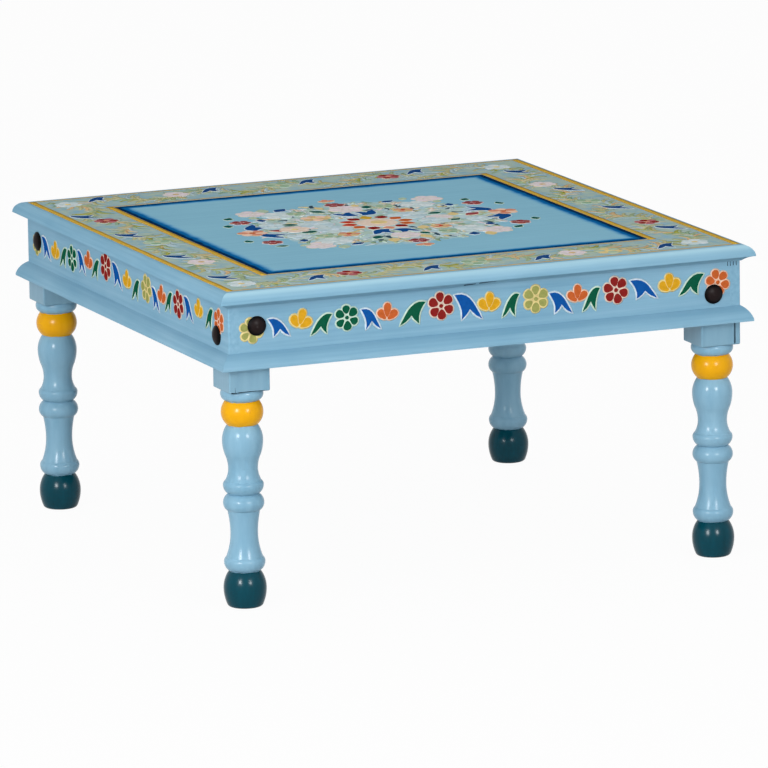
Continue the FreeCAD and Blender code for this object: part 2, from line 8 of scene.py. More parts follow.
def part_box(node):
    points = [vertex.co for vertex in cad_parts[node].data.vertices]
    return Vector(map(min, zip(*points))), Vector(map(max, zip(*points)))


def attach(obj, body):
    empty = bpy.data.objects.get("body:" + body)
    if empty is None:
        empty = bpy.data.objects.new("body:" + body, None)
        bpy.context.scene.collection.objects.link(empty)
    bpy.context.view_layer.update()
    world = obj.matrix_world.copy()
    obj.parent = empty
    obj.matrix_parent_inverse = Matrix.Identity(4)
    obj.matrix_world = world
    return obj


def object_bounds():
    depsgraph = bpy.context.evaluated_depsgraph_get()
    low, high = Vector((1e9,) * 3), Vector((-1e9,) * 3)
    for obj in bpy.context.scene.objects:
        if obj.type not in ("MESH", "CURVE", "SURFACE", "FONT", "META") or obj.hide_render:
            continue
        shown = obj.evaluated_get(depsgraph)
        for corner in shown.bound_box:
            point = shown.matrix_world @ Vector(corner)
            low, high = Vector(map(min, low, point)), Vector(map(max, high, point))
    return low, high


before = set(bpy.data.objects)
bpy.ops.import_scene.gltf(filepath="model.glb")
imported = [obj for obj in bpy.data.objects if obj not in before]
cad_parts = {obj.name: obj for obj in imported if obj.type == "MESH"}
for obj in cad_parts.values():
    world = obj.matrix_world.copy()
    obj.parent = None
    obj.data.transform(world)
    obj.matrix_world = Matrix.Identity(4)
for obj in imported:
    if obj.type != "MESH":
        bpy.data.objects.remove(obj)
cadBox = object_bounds()
print("frame loaded:", len(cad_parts), "pieces")

mm = 0.001
topFace = cadBox[1].z  # the flat of the top
apronFace = -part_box("apron_front")[0].y  # how far the apron's faces stand from the middle
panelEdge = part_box("top_rail_right")[0].x  # inner edge of the top frame
sideNames = ["Front", "Right", "Back", "Left"]


def deselectAll():
    bpy.ops.object.select_all(action="DESELECT")


def pick(obj):
    deselectAll()
    obj.select_set(True)
    bpy.context.view_layer.objects.active = obj


def swatch(red, green, blue):
    # a paint chip's 0 to 255 values, by the usual screen curve, as scene linear
    linear = []
    for value in (red, green, blue):
        share = value / 255
        linear.append(share / 12.92 if share <= 0.04045 else ((share + 0.055) / 1.055) ** 2.4)
    return (*linear, 1)


# Materials
def addNode(tree, kind, values=None, **settings):
    made = tree.nodes.new("ShaderNode" + kind)
    for name, value in settings.items():
        setattr(made, name, value)
    for name, value in (values or {}).items():
        made.inputs[name].default_value = value
    return made


def newMaterial(name):
    material = bpy.data.materials.new(name)
    material.use_nodes = True
    tree = material.node_tree
    return material, tree, tree.nodes["Principled BSDF"]


def objectPlace(tree, scale=(1, 1, 1), offset=(0, 0, 0)):
    coords = addNode(tree, "TexCoord")
    mapping = addNode(tree, "Mapping", {"Scale": scale, "Location": offset})
    tree.links.new(coords.outputs["Object"], mapping.inputs["Vector"])
    return mapping.outputs["Vector"]


def objectAxes(tree):
    coords = addNode(tree, "TexCoord")
    parts = addNode(tree, "SeparateXYZ")
    tree.links.new(coords.outputs["Object"], parts.inputs["Vector"])
    return parts.outputs


def normalAxes(tree):
    geometry = addNode(tree, "NewGeometry")
    parts = addNode(tree, "SeparateXYZ")
    tree.links.new(geometry.outputs["Normal"], parts.inputs["Vector"])
    return parts.outputs


def noise(tree, place, scale=1.0, detail=3.0, roughness=0.55):
    made = addNode(tree, "TexNoise", {"Scale": scale, "Detail": detail, "Roughness": roughness})
    tree.links.new(place, made.inputs["Vector"])
    return made.outputs["Fac"]


def ramp(tree, factor, stops, interpolation="LINEAR"):
    made = addNode(tree, "ValToRGB")
    made.color_ramp.interpolation = interpolation
    for number, (position, colour) in enumerate(stops):
        if number < 2:
            made.color_ramp.elements[number].position = position
        else:
            made.color_ramp.elements.new(position)
        made.color_ramp.elements[number].color = colour
    tree.links.new(factor, made.inputs["Fac"])
    return made.outputs["Color"]


def grey(value):
    return (value, value, value, 1)


def calculate(tree, operation, first, second=None):
    made = addNode(tree, "Math", operation=operation)
    for socket, value in zip(made.inputs, (first, second)):
        if isinstance(value, (int, float)):
            socket.default_value = value
        elif value is not None:
            tree.links.new(value, socket)
    return made.outputs["Value"]


def mixColour(tree, factor, first, second):
    made = addNode(tree, "Mix", data_type="RGBA")
    sockets = (made.inputs[0], made.inputs[6], made.inputs[7])
    for socket, value in zip(sockets, (factor, first, second)):
        if isinstance(value, tuple):
            socket.default_value = value
        else:
            tree.links.new(value, socket)
    return made.outputs[2]


def addBump(tree, shader, height, strength, distance):
    bump = addNode(tree, "Bump", {"Strength": strength, "Distance": distance})
    tree.links.new(height, bump.inputs["Height"])
    tree.links.new(bump.outputs["Normal"], shader.inputs["Normal"])


def setGloss(tree, shader, driver, low, high, specular=0.5):
    roughness = ramp(tree, driver, [(0.3, grey(low)), (0.7, grey(high))])
    tree.links.new(roughness, shader.inputs["Roughness"])
    shader.inputs["Specular IOR Level"].default_value = specular


bluePaint = {
    "pale": swatch(142, 181, 202),
    "deep": swatch(112, 156, 181),
    "paleTo": 0.24,  # up to here the paint is pale,
    "deepFrom": 0.76,  # and from here on it is deep
    "dulled": swatch(96, 140, 166),  # painted shade, where a ledge looks up
    "dullFrom": 0.3,
    "dullTo": 0.75,
    "brushLength": 0.16,  # metres along the stroke
    "streakShare": 0.65,
    "patchShare": 0.35,
    "patchScale": 11.0,
    "roughness": (0.42, 0.58),
    "specular": 0.06,
    "topSpecular": 0.0,
    "bump": (0.25, 0.0006),
}
streakScales = {"X": (1, 40, 40), "Y": (40, 1, 40), "upright": (14, 14, 2)}


def brushedBlue(tree, direction, deepen, pale=bluePaint["pale"], deep=bluePaint["deep"]):
    # the colour of blue paint that is brushed along one direction, its streaks and its patches
    base = 1 / bluePaint["brushLength"]
    scales = tuple(base * stretch for stretch in streakScales[direction])
    streaks = noise(tree, objectPlace(tree, scales), detail=4.0, roughness=0.6)
    patches = noise(tree, objectPlace(tree), bluePaint["patchScale"], 2.0)
    streakPart = calculate(tree, "MULTIPLY", streaks, bluePaint["streakShare"])
    patchPart = calculate(tree, "MULTIPLY", patches, bluePaint["patchShare"])
    both = calculate(tree, "ADD", streakPart, patchPart)
    shifted = calculate(tree, "ADD", both, deepen)
    colour = ramp(tree, shifted, [(bluePaint["paleTo"], pale), (bluePaint["deepFrom"], deep)])
    return colour, streaks, patches


def blueWood(name, direction, deepen, paintedShade=0.0):
    # painted boards; where they look up, painted shade darkens the blue
    material, tree, shader = newMaterial(name)
    colour, streaks, patches = brushedBlue(tree, direction, deepen)
    stops = [(bluePaint["dullFrom"], grey(0)), (bluePaint["dullTo"], grey(paintedShade))]
    paintedShadeShare = ramp(tree, normalAxes(tree)["Z"], stops)
    tree.links.new(mixColour(tree, paintedShadeShare, colour, bluePaint["dulled"]), shader.inputs["Base Color"])
    setGloss(tree, shader, patches, *bluePaint["roughness"], bluePaint["specular"])
    addBump(tree, shader, streaks, *bluePaint["bump"])
    return material


def measureTop(tree):
    # how far a place lies from the middle, along the nearer axis
    axes = objectAxes(tree)
    across = calculate(tree, "ABSOLUTE", axes["X"])
    along = calculate(tree, "ABSOLUTE", axes["Y"])
    return calculate(tree, "MAXIMUM", across, along)


railPaint = {
    "deepen": 0.06,
    "flat": 0.99,  # a normal that points up more than this belongs to the flat of the top
    "washFrom": panelEdge + 0.009,  # the strip between the two square lines
    "washTo": 0.2805,
    "wash": swatch(178, 188, 158),  # its thin glaze, under the vines
    "mottleScale": 70.0,
    "mottle": [(0.34, grey(0.12)), (0.62, grey(0.72))],
    # pale blue of the painted highlight along the nose
    "worn": swatch(170, 208, 222),
    # how strong the painted highlight on the nose is, by how far it looks up
    "wear": [(0.3, 0), (0.6, 0.35), (0.85, 1), (0.96, 1), (0.99, 0)],
    "bump": (0.2, 0.0005),
}


def railWood(name, direction, wear):
    # the top frame: a mottled glaze on its flat, and a painted highlight along the nose
    material, tree, shader = newMaterial(name)
    colour, streaks, patches = brushedBlue(tree, direction, railPaint["deepen"])
    up = normalAxes(tree)["Z"]
    furthest = measureTop(tree)
    flat = calculate(tree, "GREATER_THAN", up, railPaint["flat"])
    beyond = calculate(tree, "GREATER_THAN", furthest, railPaint["washFrom"])
    within = calculate(tree, "LESS_THAN", furthest, railPaint["washTo"])
    specks = noise(tree, objectPlace(tree), railPaint["mottleScale"], 4.0, 0.6)
    mottle = ramp(tree, specks, railPaint["mottle"])
    strip = calculate(tree, "MULTIPLY", flat, beyond)
    washed = calculate(tree, "MULTIPLY", strip, calculate(tree, "MULTIPLY", within, mottle))
    paintedSheenShare = ramp(tree, up, [(position, grey(share * wear)) for position, share in railPaint["wear"]])
    glazed = mixColour(tree, washed, colour, railPaint["wash"])
    painted = mixColour(tree, paintedSheenShare, glazed, railPaint["worn"])
    tree.links.new(painted, shader.inputs["Base Color"])
    setGloss(tree, shader, patches, *bluePaint["roughness"], bluePaint["topSpecular"])
    addBump(tree, shader, streaks, *railPaint["bump"])
    return material


fieldPaint = {
    "pale": swatch(138, 188, 208),
    "deep": swatch(124, 173, 195),
    "navy": swatch(6, 42, 76),
    "bright": swatch(14, 94, 154),
    "middle": swatch(60, 142, 194),
    "overlap": 0.003,  # how far past the panel's edge the blend starts
    "width": 0.025,  # of the blend
    "stray": 0.006,  # how far the blend's lines may stray
    "strayScale": 60.0,
    "coverTo": 0.5,  # share of the width over which the blend hides the field
    "clearFrom": 0.88,
    "haze": swatch(200, 213, 212),  # thin glaze under the medallion
    "hazeOlive": swatch(184, 194, 162),
    "hazeSize": (0.137, 0.127),
    "hazeShare": 0.7,
    "hazeFade": (0.9, 1.0),  # where it starts and ends to fade, as shares of its size
    "cloudScale": 75.0,
    "cloudReach": 0.5,  # how far the clouds carry the haze's edge
    "clouds": [(0.3, grey(0.25)), (0.55, grey(1))],
    "tintScale": 55.0,
    "bump": (0.15, 0.0004),
}


def edgeBlend(tree):
    # the colour of the lines along the panel's edge, and how much of the field they cover
    strays = noise(tree, objectPlace(tree), fieldPaint["strayScale"])
    wobble = calculate(tree, "MULTIPLY", strays, fieldPaint["stray"])
    centred = calculate(tree, "SUBTRACT", wobble, fieldPaint["stray"] / 2)
    inwards = calculate(tree, "SUBTRACT", panelEdge + fieldPaint["overlap"], measureTop(tree))
    share = calculate(tree, "DIVIDE", calculate(tree, "ADD", inwards, centred), fieldPaint["width"])
    blend = ramp(tree, share, [
        (0.0, fieldPaint["navy"]), (0.28, fieldPaint["navy"]),
        (0.4, fieldPaint["bright"]), (0.5, fieldPaint["bright"]), (0.7, fieldPaint["middle"]),
    ])
    stops = [(fieldPaint["coverTo"], grey(1)), (fieldPaint["clearFrom"], grey(0))]
    return blend, ramp(tree, share, stops, "EASE")


def medallionHaze(tree):
    # an oval glaze with a cloudy edge, and how strong it is
    scale = (1 / fieldPaint["hazeSize"][0], 1 / fieldPaint["hazeSize"][1], 0)
    length = addNode(tree, "VectorMath", operation="LENGTH")
    tree.links.new(objectPlace(tree, scale), length.inputs[0])
    cloud = noise(tree, objectPlace(tree), fieldPaint["cloudScale"], 3.0, 0.6)
    centred = calculate(tree, "SUBTRACT", cloud, 0.5)
    ragged = calculate(tree, "MULTIPLY", centred, fieldPaint["cloudReach"])
    edge = calculate(tree, "ADD", length.outputs["Value"], ragged)
    inside, outside = fieldPaint["hazeFade"]
    oval = ramp(tree, edge, [(inside, grey(fieldPaint["hazeShare"])), (outside, grey(0))])
    strength = calculate(tree, "MULTIPLY", oval, ramp(tree, cloud, fieldPaint["clouds"]))
    tints = noise(tree, objectPlace(tree, offset=(0.3, 0.1, 0)), fieldPaint["tintScale"], 2.0)
    return ramp(tree, tints, [(0.42, fieldPaint["haze"]), (0.6, fieldPaint["hazeOlive"])]), strength


def fieldWood(name):
    # the panel: a navy line at its edge that blends through bright blue into the field
    material, tree, shader = newMaterial(name)
    colour, streaks, patches = brushedBlue(tree, "X", 0.0, fieldPaint["pale"], fieldPaint["deep"])
    blend, cover = edgeBlend(tree)
    tint, strength = medallionHaze(tree)
    hazed = mixColour(tree, strength, colour, tint)
    painted = mixColour(tree, cover, hazed, blend)
    tree.links.new(painted, shader.inputs["Base Color"])
    setGloss(tree, shader, patches, *bluePaint["roughness"], bluePaint["topSpecular"])
    addBump(tree, shader, streaks, *fieldPaint["bump"])
    return material


legPaint = {
    "ring": swatch(226, 164, 12),
    "ringDeep": swatch(220, 155, 8),
    "foot": swatch(2, 66, 80),
    "footDeep": swatch(2, 57, 69),
    "deepen": 0.04,
    "ringFrom": 0.1902,  # heights above the floor
    "ringTo": 0.2155,
    "footTo": 0.0376,
    "blockFrom": 0.2272,
    "blockGrey": swatch(112, 142, 156),  # a little of this in the blue of the block
    "blockShare": 0.3,
    "stray": 0.0024,  # how far the hand-painted edges may stray
    "strayScale": 90.0,
    "roughness": (0.18, 0.26),
    "specular": 0.12,
    "bump": (0.08, 0.0003),
}


def turnedWood(name):
    material, tree, shader = newMaterial(name)
    colour, streaks, patches = brushedBlue(tree, "upright", legPaint["deepen"])
    upright = objectAxes(tree)["Z"]
    strays = noise(tree, objectPlace(tree), legPaint["strayScale"])
    centred = calculate(tree, "SUBTRACT", strays, 0.5)
    height = calculate(tree, "ADD", upright, calculate(tree, "MULTIPLY", centred, legPaint["stray"]))
    foot = calculate(tree, "LESS_THAN", height, legPaint["footTo"])
    aboveRing = calculate(tree, "GREATER_THAN", height, legPaint["ringFrom"])
    belowRing = calculate(tree, "LESS_THAN", height, legPaint["ringTo"])
    ring = calculate(tree, "MULTIPLY", aboveRing, belowRing)
    ringColour = ramp(tree, streaks, [(0.35, legPaint["ring"]), (0.7, legPaint["ringDeep"])])
    footColour = ramp(tree, streaks, [(0.35, legPaint["foot"]), (0.7, legPaint["footDeep"])])
    block = calculate(tree, "GREATER_THAN", upright, legPaint["blockFrom"])
    greyed = calculate(tree, "MULTIPLY", block, legPaint["blockShare"])
    column = mixColour(tree, greyed, colour, legPaint["blockGrey"])
    painted = mixColour(tree, foot, mixColour(tree, ring, column, ringColour), footColour)
    tree.links.new(painted, shader.inputs["Base Color"])
    setGloss(tree, shader, patches, *legPaint["roughness"], legPaint["specular"])
    addBump(tree, shader, streaks, *legPaint["bump"])
    return material


def bareWood(name):
    material, tree, shader = newMaterial(name)
    grain = noise(tree, objectPlace(tree, (70, 4, 70)), detail=6.0, roughness=0.65)
    stops = [(0.3, swatch(178, 132, 86)), (0.55, swatch(146, 100, 60)), (0.75, swatch(104, 68, 40))]
    tree.links.new(ramp(tree, grain, stops), shader.inputs["Base Color"])
    setGloss(tree, shader, grain, low=0.55, high=0.75)
    addBump(tree, shader, grain, strength=0.35, distance=0.0008)
    return material


def blackIron(name):
    # lacquered bolts, with a painted highlight in brown on the crown of each head
    material, tree, shader = newMaterial(name)
    axes = normalAxes(tree)
    across = calculate(tree, "ABSOLUTE", axes["X"])
    along = calculate(tree, "ABSOLUTE", axes["Y"])
    facing = calculate(tree, "MAXIMUM", across, along)
    specks = noise(tree, objectPlace(tree), scale=420.0, detail=4.0, roughness=0.6)
    crownHighlight = calculate(tree, "ADD", facing, calculate(tree, "MULTIPLY", specks, 0.06))
    # black at the rim, brown as a painted highlight where the crown faces out
    colour = ramp(tree, crownHighlight, [(0.88, swatch(2, 2, 4)), (0.95, swatch(30, 22, 22))])
    tree.links.new(colour, shader.inputs["Base Color"])
    setGloss(tree, shader, specks, low=0.3, high=0.45, specular=0.05)
    addBump(tree, shader, specks, strength=0.3, distance=0.0004)
    return material


def zincSteel(name):
    material, tree, shader = newMaterial(name)
    brushed = noise(tree, objectPlace(tree, (300, 300, 900)))
    colour = ramp(tree, brushed, [(0.3, swatch(150, 148, 144)), (0.7, swatch(190, 188, 182))])
    tree.links.new(colour, shader.inputs["Base Color"])
    shader.inputs["Metallic"].default_value = 1.0
    setGloss(tree, shader, brushed, low=0.3, high=0.5)
    return material


enamelPaint = {"shade": 0.82, "streakScale": 260.0, "roughness": (0.4, 0.56)}


def enamel(name, colour):
    # one pot of ornament paint, streaked by the brush
    material, tree, shader = newMaterial(name)
    light = swatch(*colour)
    dark = tuple(value * enamelPaint["shade"] for value in light[:3]) + (1,)
    strokes = noise(tree, objectPlace(tree), enamelPaint["streakScale"], 3.0, 0.6)
    painted = ramp(tree, strokes, [(0.35, light), (0.68, dark)])
    tree.links.new(painted, shader.inputs["Base Color"])
    setGloss(tree, shader, strokes, *enamelPaint["roughness"], bluePaint["topSpecular"])
    return material


# the front and back noses get a strong painted highlight, the side ones hardly any
railAlongX = railWood("blueRailAlongX", "X", wear=0.7)
railAlongY = railWood("blueRailAlongY", "Y", wear=0.06)
# the front and back mouldings get more painted shade on their upper faces than the side ones
mouldingAlongX = blueWood("blueMouldingAlongX", "X", deepen=0.06, paintedShade=0.5)
mouldingAlongY = blueWood("blueMouldingAlongY", "Y", deepen=0.06, paintedShade=0.3)
apronAlongX = blueWood("blueApronAlongX", "X", deepen=0.1)
apronAlongY = blueWood("blueApronAlongY", "Y", deepen=0.1)
panelPaint = fieldWood("bluePanel")
legTurned = turnedWood("turnedLeg")
hiddenWood = bareWood("planedWood")
boltIron = blackIron("blackIron")
screwSteel = zincSteel("zincSteel")
nodeMaterials = {
    "top_rail_front": railAlongX, "top_rail_back": railAlongX,
    "top_rail_left": railAlongY, "top_rail_right": railAlongY,
    "top_panel": panelPaint,
    "apron_front": apronAlongX, "apron_back": apronAlongX,
    "apron_left": apronAlongY, "apron_right": apronAlongY,
    "moulding_front": mouldingAlongX, "moulding_back": mouldingAlongX,
    "moulding_left": mouldingAlongY, "moulding_right": mouldingAlongY,
    "coach_bolts": boltIron, "washers": boltIron, "nuts": boltIron,
    "batten_screws": screwSteel,
}
for name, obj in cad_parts.items():
    material = nodeMaterials.get(name, hiddenWood)
    if name.startswith(("leg_", "block_strip_")):
        material = legTurned
    obj.data.materials.clear()
    obj.data.materials.append(material)
print("frame painted")

# Ornament
# Shapes are drawn flat in millimetres, as points (x, y, kind): "s" is smooth, "c" is a corner.
petal = [
    (0, 0, "s"), (-2.9, 2.4, "s"), (-4.3, 6.0, "s"), (-2.6, 9.1, "s"), (2.6, 9.1, "s"), (4.3, 6.0, "s"),
    (2.9, 2.4, "s"),
]
spear = [(0, 0, "c"), (-3.4, 4.4, "s"), (-2.6, 7.6, "s"), (0, 11, "c"), (2.6, 7.6, "s"), (3.4, 4.4, "s")]
leaf = [
    (0, 0, "c"), (7, 0.8, "s"), (14.5, -3, "s"), (20.5, -10.5, "s"), (26, -20, "c"), (19.5, -17.2, "s"),
    (14, -12, "c"), (11.6, -15.6, "s"), (6.4, -19.6, "c"), (6.6, -12.5, "s"), (3.8, -5.5, "s"),
]
spearHalf = 5.5  # half its length
leafSpan = (26, 20)  # its width, and its height from the head down to the tip

pots = {
    "red": (134, 36, 34), "scarlet": (184, 58, 40), "orange": (192, 95, 48), "coral": (212, 142, 118),
    "peach": (232, 196, 172), "pink": (221, 208, 216), "blush": (224, 204, 188), "cream": (220, 208, 172),
    "butter": (222, 204, 142), "wheat": (216, 194, 138), "yellow": (212, 158, 36), "ochre": (200, 160, 54),
    "olive": (152, 154, 88), "moss": (160, 164, 84), "sage": (144, 172, 144), "mint": (196, 220, 204),
    "green": (17, 85, 61), "pine": (30, 88, 80), "ice": (204, 220, 230), "mist": (196, 212, 214),
    "white": (212, 221, 222), "sky": (182, 204, 212), "blue": (20, 82, 156), "navy": (34, 74, 128),
    "dark": (34, 44, 52), "gold": (204, 166, 68), "lichen": (170, 192, 168), "fern": (160, 178, 142),
    "straw": (182, 180, 136), "dune": (192, 190, 156), "haze": (172, 194, 200),
    "apricot": (206, 176, 132), "slate": (58, 82, 98), "pearl": (216, 208, 208), "rose": (176, 104, 108),
    "brick": (150, 74, 76), "wine": (122, 34, 42), "cobalt": (23, 76, 138),
}
outlineOf = {
    "red": "blush", "green": "mint", "olive": "butter", "orange": "peach", "yellow": "butter",
    "blue": "ice", "navy": "ice", "white": "ice", "pink": "cream", "scarlet": "peach", "sky": "ice",
    "sage": "mint", "coral": "cream", "blush": "white", "lichen": "dune", "cobalt": "ice",
    "brick": "peach", "wine": "pink", "pine": "mint",
}
partnerOf = {  # the second paint of a bloom's petals
    "pink": "pearl", "white": "mist", "sky": "mist", "peach": "coral", "coral": "apricot", "red": "rose",
    "wine": "brick", "lichen": "sage", "wheat": "lichen", "apricot": "peach",
}
coreOf = {  # the paint of a bloom's middle
    "wine": "rose", "lichen": "dune", "apricot": "wheat", "white": "mist", "pink": "pearl",
    "sky": "ice", "coral": "scarlet", "peach": "orange",
}
enamels = {name: enamel("enamel" + name.capitalize(), colour) for name, colour in pots.items()}

ornament = {
    "fillHeight": 0.2,  # millimetres that a filled shape stands above the wood
    "potStep": 0.008,  # and each further pot above the one before it
    "coreHeight": 0.32,
    "heartHeight": 0.42,
    "lineWidth": 2.2,
    "lineHeight": 0.36,
    "fineWidth": 1.5,
    "curveSteps": 2,  # between two points of a shape
    "waver": 0.26,  # how far a hand strays from the drawn line
    "seed": 27,
}
weldDistance = 0.000002
hand = random.Random(ornament["seed"])


def straying(amount):
    return hand.uniform(-amount, amount)


class PaintLayer:
    # the curves of one painted area in millimetres, one curve for each pot and way of painting
    def __init__(self, name, lineWidth=ornament["lineWidth"], lineHeight=ornament["lineHeight"]):
        self.name = name
        self.lineWidth = lineWidth
        self.lineHeight = lineHeight
        self.curves = {}

    def curve(self, colour, way):
        if (colour, way) not in self.curves:
            curve = bpy.data.curves.new(self.name + colour.capitalize() + way, "CURVE")
            curve.resolution_u = ornament["curveSteps"]
            if way != "Line":
                curve.dimensions = "2D"
                curve.fill_mode = "BOTH"
                curve.extrude = ornament[way.lower() + "Height"] + ornament["potStep"] * len(self.curves)
            else:
                curve.dimensions = "3D"
                curve.bevel_depth = 1.0
                curve.bevel_resolution = 0
                curve.use_fill_caps = True
            self.curves[(colour, way)] = curve
        return self.curves[(colour, way)]

    def draw(self, colour, way, points, place, closed=True, width=0.0, tip=None):
        spline = self.curve(colour, way).splines.new("BEZIER")
        taper = 0.0 if tip is None else (tip - width) / (len(points) - 1)
        spline.bezier_points.add(len(points) - 1)
        spline.use_cyclic_u = closed
        spline.use_smooth = way == "Line"
        for number, (bezier, (x, y, kind)) in enumerate(zip(spline.bezier_points, points)):
            bezier.co = place @ Vector((x, y, 0))
            bezier.handle_left_type = bezier.handle_right_type = "AUTO" if kind == "s" else "VECTOR"
            bezier.radius = (width + taper * number) / 2 if way == "Line" else 1.0

    def shape(self, colour, points, place, way="Fill"):
        # a filled shape with a raised line of lighter paint round it
        waver = ornament["waver"]
        strayed = [(x + straying(waver), y + straying(waver), kind) for x, y, kind in points]
        self.draw(colour, way, strayed, place)
        if colour in outlineOf:
            self.draw(outlineOf[colour], "Line", strayed, place, True, self.lineWidth)

    def line(self, colour, points, width, tip=None):
        self.draw(colour, "Line", [(x, y, "s") for x, y in points], Matrix.Identity(4), False, width, tip)

    def finish(self, toFace):
        # each curve becomes a mesh on its face, and all of them one piece
        flatten = 2 * self.lineHeight / self.lineWidth
        meshes = []
        for (colour, way), curve in self.curves.items():
            obj = bpy.data.objects.new(curve.name, curve)
            bpy.context.collection.objects.link(obj)
            pick(obj)
            bpy.ops.object.convert(target="MESH")
            obj = bpy.context.object
            obj.matrix_world = toFace @ Matrix.Diagonal((mm, mm, mm * (flatten if way == "Line" else 1), 1))
            bpy.ops.object.transform_apply(location=True, rotation=True, scale=True)
            obj.data.materials.clear()
            obj.data.materials.append(enamels[colour])
            meshes.append(obj)
        deselectAll()
        for obj in meshes:
            obj.select_set(True)
        bpy.context.view_layer.objects.active = meshes[0]
        if len(meshes) > 1:
            bpy.ops.object.join()
        piece = bpy.context.object
        piece.name = self.name
        bpy.ops.object.mode_set(mode="EDIT")
        bpy.ops.mesh.select_all(action="SELECT")
        bpy.ops.mesh.remove_doubles(threshold=weldDistance)
        bpy.ops.mesh.normals_make_consistent(inside=False)
        bpy.ops.object.mode_set(mode="OBJECT")
        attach(piece, "root")
        print("painted", self.name, len(piece.data.polygons), "faces")


def spot(x, y, turn=0.0, size=1.0, stretch=1.0):
    shift = Matrix.Translation((x, y, 0))
    return shift @ Matrix.Rotation(math.radians(turn), 4, "Z") @ Matrix.Diagonal((size, size * stretch, 1, 1))


def drawDisc(layer, colour, x, y, radius, way="Heart"):
    points = []
    for number in range(6):
        angle = math.tau * number / 6
        points.append((radius * math.cos(angle), radius * math.sin(angle), "s"))
    layer.shape(colour, points, spot(x, y), way)


flowerStyle = {"stray": 3, "petalOut": 3.5, "petalSize": 1.08, "heart": 2.2}


def drawFlower(layer, colour, x, y, size=1.0, turn=0.0):
    petalPlace = spot(0, flowerStyle["petalOut"], 0, flowerStyle["petalSize"])
    for number in range(6):
        angle = turn + 60 * number + straying(flowerStyle["stray"])
        way = "Core" if number % 2 else "Fill"
        layer.shape(colour, petal, spot(x, y, angle, size) @ petalPlace, way)
    drawDisc(layer, colour, x, y, flowerStyle["heart"] * size)


tulipStyle = {
    "stray": 3,
    "lean": 44,  # of the outer petals
    "outer": (0.8, -9.4, 1.14, 1.34),  # where a petal starts, its size and its stretch
    "middle": (0, -6.5, 1.02, 1.62),
}


def drawTulip(layer, colour, x, y, size=1.0, turn=0.0):
    whole = spot(x, y, turn, size)
    out, up, petalSize, stretch = tulipStyle["outer"]
    for side in (-1, 1):
        lean = -side * (tulipStyle["lean"] + straying(tulipStyle["stray"]))
        layer.shape(colour, petal, whole @ spot(side * out, up, lean, petalSize, stretch))
    out, up, petalSize, stretch = tulipStyle["middle"]
    petalPlace = spot(out, up, straying(tulipStyle["stray"]), petalSize, stretch)
    layer.shape(colour, petal, whole @ petalPlace, "Core")


bloomStyle = {
    "start": 30,  # a bloom may be turned by this much
    "stray": 4,
    "radius": 12.6,  # of a bloom at size 1
    "petalOut": 3.0,
    "petalSize": (1.24, 0.94),
    "heart": 0.26,  # share of the radius
}


def drawBloom(layer, colour, x, y, radius, core=None):
    # six round petals in two paints, every other one over its neighbours, and a dab in the middle
    petalPlace = spot(0, bloomStyle["petalOut"], 0, *bloomStyle["petalSize"])
    start = straying(bloomStyle["start"])
    for number in range(6):
        angle = start + 60 * number + straying(bloomStyle["stray"])
        whole = spot(x, y, angle, radius / bloomStyle["radius"])
        if number % 2:
            layer.shape(partnerOf.get(colour, colour), petal, whole @ petalPlace, "Core")
        else:
            layer.shape(colour, petal, whole @ petalPlace)
    drawDisc(layer, core or coreOf.get(colour, "butter"), x, y, bloomStyle["heart"] * radius)


def drawLeaf(layer, colour, headX, headY, tipX, tipY):
    # the leaf fills the box between its head and its long tip
    fit = Matrix.Diagonal(((tipX - headX) / leafSpan[0], (headY - tipY) / leafSpan[1], 1, 1))
    layer.shape(colour, leaf, spot(headX, headY) @ fit)


def faceOf(side):
    # carries a drawing (along, up) to an apron board, by quarter turns from the front
    flat = Matrix.Translation((0, -apronFace, 0)) @ Matrix.Rotation(math.radians(90), 4, "X")
    return Matrix.Rotation(math.radians(90 * side), 4, "Z") @ flat


# The garland runs from left to right as one looks at the face; heights are above the floor.
# Flowers and tulips: colour, along, up, size, turn. Leaves: colour, head and tip, each along, up.
frontGarland = [
    ("flower", "olive", -262.3, 291, 0.92, 10), ("leaf", "blue", -244.7, 301, -219.2, 281.8),
    ("tulip", "yellow", -207.5, 299, 1.0, -14), ("leaf", "green", -172.7, 300.5, -197.3, 279.7),
    ("flower", "green", -157, 295, 0.96, 4), ("leaf", "blue", -141.6, 302, -118.8, 279.8),
    ("tulip", "orange", -112, 298, 0.92, -4), ("leaf", "green", -68.8, 304, -98.8, 281),
    ("flower", "red", -52, 298, 1.03, 6), ("leaf", "blue", -37.5, 307.5, -5.3, 280.2),
    ("tulip", "yellow", 2, 298, 1.0, -4), ("leaf", "green", 36.2, 303, 16, 279.2),
    ("flower", "olive", 54.3, 296, 1.02, 0), ("leaf", "blue", 68.8, 300.2, 95.8, 277.4),
    ("tulip", "orange", 101.3, 298, 0.92, 0), ("leaf", "green", 127.3, 301, 107, 277.4),
    ("flower", "red", 145, 297, 1.02, 12), ("leaf", "blue", 160.4, 305.5, 193.2, 284.5),
    ("tulip", "yellow", 206, 300, 1.0, 4), ("leaf", "green", 245.8, 305.5, 217, 284),
    ("flower", "orange", 261.2, 295, 0.98, 14),
]
